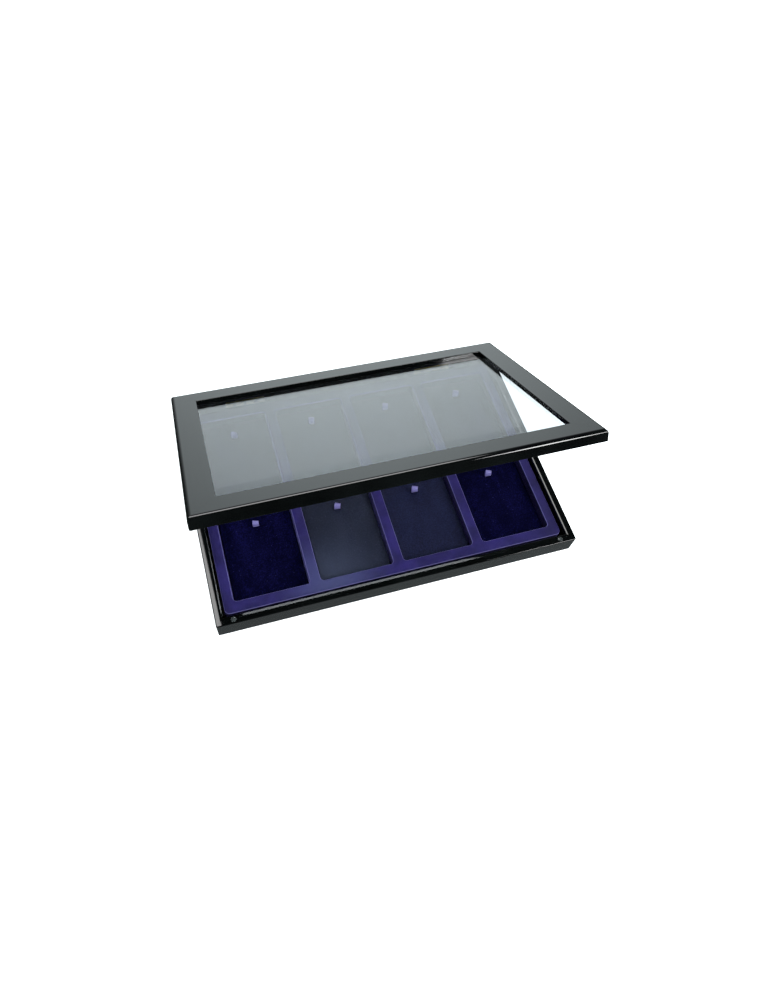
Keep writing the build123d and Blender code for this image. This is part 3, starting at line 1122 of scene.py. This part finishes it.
    def ribbon(self, row: int, column: int, seed: int) -> bpy.types.Object:
        """One ribbon loop that stands out of its pad.

        Its middle line is a teardrop: over a turn t from 0 to 2 pi the height is the middle less
        half the height x cos t, and the opening is the half width x sin t x sin(t / 2). Across
        it the ribbon is cupped by a parabola and thin at both selvedges. It turns evenly about
        its upright axis from the pad to its head.

        Args:
            row: row from the front.
            column: column from the left.
            seed: number that sets the loop's lean and turn.

        Returns:
            The ribbon.
        """
        x0, y0 = self.centre(row, column)
        y0 += self.place_depth / 2 - self.ribbon_setback
        random = np.random.default_rng(seed)
        lean, twist = random.uniform(*self.loop_lean), random.uniform(*self.loop_twist)
        fall = random.uniform(*self.loop_fall)
        turn = np.linspace(self.loop_gather, 2 * math.pi - self.loop_gather, LOOP_POINTS)
        foot, head = self.pad_top - self.loop_sink, self.pad_top + self.loop_rise
        y = self.loop_opening * np.sin(turn) * np.sin(turn / 2)
        z = (foot + head) / 2 - (head - foot) / 2 * np.cos(turn)
        root, pinched = [self.board_top + self.ribbon_foot], self.loop_pinch * y
        y = np.concatenate([pinched[:1], y, pinched[-1:]])
        z = np.concatenate([root, z, root])
        step = np.gradient(np.stack([y, z], axis=-1), axis=0)
        step /= np.linalg.norm(step, axis=1, keepdims=True)
        across = np.array([-1, -0.97, -0.9, -0.5, 0, 0.5, 0.9, 0.97, 1])
        thick = np.array([0, 0.17, 0.2, 0.16, 0.16, 0.16, 0.2, 0.17, 0])
        across = np.concatenate([across, across[-2:0:-1]])
        thick = np.concatenate([thick, -thick[-2:0:-1]])
        raised = thick[None] + self.ribbon_cup * across[None] ** 2
        px = across[None] * (self.ribbon_width / 2 - self.ribbon_edge)
        py = y[:, None] - raised * step[:, 1:]
        pz = z[:, None] + raised * step[:, :1]
        up = np.clip((pz - self.pad_top) / (head - self.pad_top), 0, 1)
        above = (pz - self.pad_top) * (up > 0)
        px, c, s = px + lean * above, np.cos(twist * up), np.sin(twist * up)
        px, py = px * c - py * s, px * s + py * c + fall * above
        points = np.stack([px + x0, py + y0, pz], axis=-1)
        name = f"ribbon_loop_row{row + 1}_column{column + 1}"
        return piece_from(name, [Patch(points)], [points[0], points[-1]], crease=50)

    def build(self, finishes: Paints, nodes: Nodes) -> None:
        """Makes the tray's pieces.

        Args:
            finishes: materials by name: flock, deep, stroked, brushed, ribbon, board.
            nodes: the frame's nodes by name.
        """
        places = [(row, column) for row in range(self.rows) for column in range(self.columns)]
        cells = [patch for place in places for patch in self.cell(*place)]
        grid = piece_from("tray_grid_flocked", cells, crease=60)
        seat(grid, "base", finishes["flock"], "tray_grid")
        dress(nodes["tray_board"], finishes["board"])
        for row, column in places:
            seed, place = 10 * row + column, f"row{row + 1}_column{column + 1}"
            pad, nap = self.pad(row, column, seed), finishes[self.naps[column].value]
            seat(pad, "base", nap, f"pad_{place}")
            loop = self.ribbon(row, column, LOOP_SEED + seed)
            seat(loop, "base", finishes["ribbon"], f"ribbon_{place}")


@dataclass
class Lid:
    """Glazed lid: mitred rails, glass and glazing beads, swung open with the rest pose."""

    case: Case = field(default_factory=Case)
    height: float = 11.5
    rail: float = 24.0
    outer_round: float = 4.0
    window_round: float = 0.8
    foot_round: float = 1.0
    glass_depth: float = 4.6
    glass_rebate: float = 7.5
    leaf_width: float = 12.1

    def sections(self) -> tuple[list[Triple], list[Triple]]:
        """The rail's section, and the one with the underside raised for a hinge leaf."""
        low = self.case.rim_height + self.case.lid_gap
        high, raised = low + self.height, low + self.case.leaf
        rebate, glass_top = self.rail - self.glass_rebate, high - self.glass_depth
        upper = [
            (rebate, low, self.case.rebate_round),
            (rebate, glass_top, 0.0),
            (self.rail, glass_top, self.case.rebate_round),
            (self.rail, high, self.window_round),
            (0.0, high, self.outer_round),
        ]
        step = (self.leaf_width, low, 0.0)
        plain = [(0.0, low, self.foot_round), step, step]
        return plain + upper, [(0.0, raised, 0.0), (self.leaf_width, raised, 0.0), step] + upper

    def build(self, finishes: Paints, nodes: Nodes) -> None:
        """Makes the lid's pieces.

        Args:
            finishes: materials by name: lacquer, bead, glass.
            nodes: the frame's nodes by name.
        """
        self.case.build_rails("lid", *self.sections(), finishes["lacquer"])
        for side in Side:
            dress(nodes[f"glazing_bead_{side.word}"], finishes["bead"])
        dress(nodes["lid_glass"], finishes["glass"])


@dataclass
class Hardware:
    """Brass hinges with their screws, and the clear bumpers on the front rim."""

    case: Case = field(default_factory=Case)
    bumper_x: float = 159.0
    bumper_y: float = -116.25
    bumper_radius: float = 2.5
    bumper_height: float = 0.5
    bumper_fall: float = 0.55
    screw_offset: float = 11.0
    screw_drop: float = 3.8
    screw_setback: float = 6.0
    head_radius: float = 2.0
    head_height: float = 1.0
    slot_width: float = 0.55
    slot_depth: float = 0.45
    shank_radius: float = 1.0
    shank_length: float = 5.0
    shank_spare: float = 0.3
    pitch: float = 0.9
    core_share: float = 0.72
    thread_share: float = 0.26
    point_slope: float = 5.0
    point_share: float = 0.05
    neck_radius: float = 0.9
    neck_length: float = 0.9
    rim_share: float = 0.35
    dome_slot: float = 0.3
    flat_radius: float = 2.1
    flat_play: float = 0.05
    flat_rim: float = 0.15
    sink_inset: float = 0.3

    def bumper_points(self) -> np.ndarray:
        """A low dome of revolution: the height falls off by the fourth power of the radius."""
        share = np.array([0.0, 0.25, 0.5, 0.7, 0.85, 0.94, 0.99, 1.0, 0.98, 0.0])[:, None]
        height = self.bumper_height * (1 - self.bumper_fall * share**4)
        height[-2:] = 0.0
        turn = np.linspace(0, 2 * math.pi, 40, endpoint=False)
        return revolved(share * self.bumper_radius, height, turn)

    def screw_points(self, dome: float, radius: float, roll: float) -> list[np.ndarray]:
        """A slotted screw with its seat at the origin and its shank along -Z.

        The head is a set of chords: at each x its points run from -sqrt(r^2 - x^2) to
        +sqrt(r^2 - x^2). The height is a dome of the distance from the axis, less the slot's depth
        between the slot's walls. The shank is a cylinder whose radius swells by a triangle wave of
        the height less the turn, which is the thread.

        Args:
            dome: height of the head above its seat, or 0 for a flat head.
            radius: radius of the head.
            roll: angle in radians of the slot.

        Returns:
            The head's and the shank's grids of points.
        """
        wall, chord = self.slot_width / 2, radius * np.cos(np.linspace(0, 1.3, 6))
        columns = np.concatenate([-chord, [-wall, -wall, wall, wall], chord[::-1]])
        in_slot = np.zeros(len(columns))
        in_slot[7:9] = 1
        end = np.sqrt(np.maximum(radius**2 - columns**2, 0))
        y = end[:, None] * np.sin(np.linspace(-math.pi / 2, math.pi / 2, 13))[None]
        away = np.hypot(columns[:, None], y) / radius
        low, foot = (self.rim_share * dome, 0.0) if dome else (0.0, -self.flat_rim)
        z = low + (dome - low) * np.sqrt(np.maximum(1 - away**2, 0))
        z = z - (self.slot_depth + self.dome_slot * dome) * in_slot[:, None]
        y = np.pad(y, ((0, 0), (1, 1)), mode="edge")
        z = np.pad(z, ((0, 0), (1, 1)), constant_values=foot)
        x, c, s = columns[:, None], math.cos(roll), math.sin(roll)
        head = np.stack([x * c - y * s, x * s + y * c, z], axis=-1)

        turn = np.linspace(0, 2 * math.pi, 20, endpoint=False)
        depth = np.linspace(0, 1, 41)[:, None]
        threads = depth * self.shank_length / self.pitch - turn[None] / (2 * math.pi)
        wave = np.abs((threads % 1) * 2 - 1)
        point = np.clip((1 - depth) * self.point_slope, self.point_share, 1)
        core = self.shank_radius * (self.core_share + self.thread_share * wave) * point
        neck = self.neck_radius if dome else self.flat_radius - self.sink_inset
        neck = np.clip(1 - depth * self.shank_length / self.neck_length, 0, 1) * neck
        level = foot - SHELL_GAP - depth * (self.shank_length - self.shank_spare)
        return [head, revolved(np.maximum(core, neck), level, turn)]

    def screws(self, side: str, place: float, kind: str) -> bpy.types.Object:
        """The two screws of one leaf, whose slots all stand at different angles.

        Args:
            side: left or right.
            place: x of the hinge's middle.
            kind: base or lid.

        Returns:
            Both screws as one piece.
        """
        case, grids = self.case, []
        for index, offset in enumerate((-self.screw_offset, self.screw_offset)):
            roll = 0.4 + 1.1 * index + 0.7 * (side == "left") + 0.3 * (kind == "lid")
            if kind == "base":
                shapes = self.screw_points(self.head_height, self.head_radius, roll)
                seat_y = case.depth / 2 - case.wall - case.leaf
                seat_z = case.rim_height - self.screw_drop
            else:
                shapes = self.screw_points(0.0, self.flat_radius - self.flat_play, roll)
                seat_y = case.depth / 2 - self.screw_setback
                seat_z = case.rim_height + case.lid_gap
            for points in shapes:
                x, y, z = np.moveaxis(points, -1, 0)
                if kind == "base":
                    placed = np.stack([x + place + offset, seat_y - z, y + seat_z], axis=-1)
                else:
                    placed = np.stack([x + place + offset, y + seat_y, seat_z - z], axis=-1)
                    placed = case.opened(placed)
                grids.append(placed)
        ends = [end for shank in grids[1::2] for end in (shank[0], shank[-1])]
        name = f"hinge_{side}_{kind}_screws_slotted"
        return piece_from(name, [Patch(grid) for grid in grids], ends)

    def build(self, finishes: Paints, nodes: Nodes) -> None:
        """Makes the hinges' screws and the bumpers, and dresses the leaves and pins.

        Args:
            finishes: materials by name: leaf, pin, screw, bumper.
            nodes: the frame's nodes by name.
        """
        for side, place in zip(("left", "right"), self.case.hinge_places):
            dress(nodes[f"hinge_{side}_pin"], finishes["pin"])
            for kind in ("base", "lid"):
                dress(nodes[f"hinge_{side}_{kind}_leaf"], finishes["leaf"])
                node = f"hinge_{side}_{kind}_screws"
                seat(self.screws(side, place, kind), kind, finishes["screw"], node)
        dome, level = self.bumper_points(), self.case.rim_height
        domes = [Patch(dome + [x, self.bumper_y, level]) for x in (-self.bumper_x, self.bumper_x)]
        bumpers = piece_from("lid_bumpers_domed", domes, crease=60)
        seat(bumpers, "base", finishes["bumper"], "lid_bumpers")


# ---- Stage --------------------------------------------------------------------------------------
@dataclass(frozen=True)
class Softbox:
    """A rectangular area light.

    Args:
        name: the light's name.
        place: its middle, in metres.
        size: its width and height, in metres.
        watts: its power.
        aim: the point that it faces.
        mirrored_only: whether it is only seen in glossy faces and lights nothing matt.
    """

    name: str
    place: Triple
    size: Span
    watts: float
    aim: Triple = (0.0, 0.0, 0.0)
    mirrored_only: bool = False

    def build(self) -> None:
        """Makes the light."""
        light = bpy.data.lights.new(self.name, "AREA")
        light.shape = "RECTANGLE"
        light.size, light.size_y = self.size
        light.energy = self.watts
        made = linked(self.name, light)
        made.location = self.place
        way = Vector(self.aim) - Vector(self.place)
        made.rotation_euler = way.to_track_quat("-Z", "Y").to_euler()
        made.visible_diffuse = not self.mirrored_only


@dataclass
class Studio:
    """Pale floor, soft light and the camera, whose axes are right, down and ahead."""

    floor_size: float = 14.0
    floor_colours: tuple[str, str] = ("#F2F2F2", "#F5F5F5")
    floor_grain_mm: float = 3.0
    floor_glow: float = 0.75
    camera_place: Triple = (-0.14714, -0.33752, 0.62642)
    camera_right: Triple = (0.95292838, -0.28757451, 0.09606455)
    camera_down: Triple = (-0.20838254, -0.85134112, -0.48145094)
    camera_ahead: Triple = (0.22023672, 0.43877009, -0.87119263)
    lens: float = 25.5
    sensor: float = 36.0
    sweep: Triple = (0.208, 0.978, 0.0)
    sweep_light: float = 1.78
    sweep_power: float = 10.0
    below_light: float = 0.25
    room_light: float = 0.02
    fill_light: float = 1.8
    backdrop: float = 1.3
    daylight: str = "#EEFAFD"
    softboxes: tuple[Softbox, ...] = (
        Softbox(
            "overhead", (0.165, 0.86, 1.6), (1.03, 0.88), 20.0, aim=(0.165, 0.85, 0.0),
            mirrored_only=True,
        ),
        Softbox("front_right", (1.0, -0.96, 1.42), (0.42, 0.48), 14.0),
    )

    def build(self) -> None:
        """Makes the floor, the lights, the surroundings and the camera."""
        self.floor()
        self.surroundings()
        for softbox in self.softboxes:
            softbox.build()
        self.camera()

    def floor(self) -> None:
        """A plain pale floor under the case."""
        mesh = bpy.data.meshes.new("floor")
        corners = [(x, y, 0) for x, y in (QUADRANTS * self.floor_size / 2).tolist()]
        mesh.from_pydata(corners, [], [(0, 1, 2, 3)])
        floor = linked("floor", mesh)
        paint = Painter(
            "floor_paper", Roughness=1.0, Specular_IOR_Level=0.0, Emission_Strength=self.floor_glow
        )
        tone = paint.tone(paint.noise(self.floor_grain_mm, 2.0), *self.floor_colours, (0.3, 0.7))
        paint.link(tone, "Base Color", "Emission Color")
        dress(floor, paint.material)
        floor.visible_glossy = False

    def surroundings(self) -> None:
        """A bright sweep low behind the case, a dim floor and a dark room round it.

        The sweep is the tenth power of the cosine of the angle to its brightest direction. The
        camera sees plain white, and soft light from all round fills the shadows.
        """
        world = bpy.data.worlds.new("studio")
        world.use_nodes = True
        tree = world.node_tree
        tree.nodes.clear()
        way = add_node(tree, "TexCoord").outputs["Generated"]
        facing = add_node(tree, "VectorMath", {"operation": "DOT_PRODUCT"}, i0=way, i1=self.sweep)
        lobe = calculated(tree, "MAXIMUM", facing.outputs["Value"], 0.0)
        lobe = calculated(tree, "POWER", lobe, self.sweep_power)
        height = add_node(tree, "SeparateXYZ", Vector=way).outputs["Z"]
        dim = (self.below_light, self.room_light)
        below = spread(tree, height, (-0.9, -0.6), dim, smooth=True)
        room = calculated(tree, "MULTIPLY_ADD", lobe, self.sweep_light, below)
        path, mix = add_node(tree, "LightPath").outputs, {"data_type": "FLOAT"}
        lit = add_node(tree, "Mix", mix, i0=path["Is Diffuse Ray"], i2=room, i3=self.fill_light)
        seen = add_node(
            tree, "Mix", mix, i0=path["Is Camera Ray"], i2=lit.outputs[0], i3=self.backdrop
        )
        glow = add_node(
            tree, "Background", Color=linear(self.daylight), Strength=seen.outputs[0]
        )
        add_node(tree, "OutputWorld", Surface=glow.outputs["Background"])
        bpy.context.scene.world = world

    def camera(self) -> None:
        """The camera, with the lens measured against the picture's long side."""
        data = bpy.data.cameras.new("camera")
        data.sensor_width, data.lens = self.sensor, self.lens
        data.clip_start, data.clip_end = 0.01, 100.0
        axes = (Vector(v) for v in (self.camera_right, self.camera_down, self.camera_ahead))
        right, down, ahead = axes
        turn = Matrix((right, -down, -ahead)).transposed().to_4x4()
        made = linked("camera", data)
        made.matrix_world = Matrix.Translation(Vector(self.camera_place)) @ turn
        bpy.context.scene.camera = made


def main() -> None:
    """Builds the box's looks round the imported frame."""
    logging.basicConfig(level=logging.INFO, format="%(message)s")
    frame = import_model()
    nodes = frame["nodes"]
    bpy.context.scene.view_settings.view_transform = "Standard"

    Studio().build()
    finishes = {
        "lacquer": PianoLacquer(),
        "panel": FibreBoard(),
        "felt": WoolFelt(),
        "board": FibreBoard(name="grey_card", deep="#15131F", light="#232030"),
        "flock": NylonFlock(),
        Nap.DEEP.value: Velour(),
        Nap.STROKED.value: Velour(
            name="navy_velour_stroked", deep="#0A0D26", light="#191D3D", lint="#2E325A",
            sheen=0.12, sheen_tint="#6A7090", roughness=0.5, gloss=0.15,
        ),
        # The brushed pads carry the pale patch, a painted reflection
        Nap.BRUSHED.value: Velour(
            name="navy_velour_brushed", deep="#14182A", light="#22273B", lint="#464A68",
            sheen=0.2, sheen_tint="#6A7090", roughness=0.5, gloss=0.2, painted_sheen_colour="#393F54", painted_sheen=0.7,
        ),
        "ribbon": SatinRibbon(),
        "bead": SatinLacquer(),
        "glass": FloatGlass(),
        "leaf": Brass(),
        "pin": Brass(name="drawn_brass", roughness=0.16),
        "screw": Brass(name="turned_brass", roughness=0.2),
        "bumper": ClearRubber(),
    }
    paints = {name: finish.material() for name, finish in finishes.items()}
    for assembly in (Base(), Tray(), Lid(), Hardware()):
        assembly.build(paints, nodes)


if __name__ == "__main__":
    main()
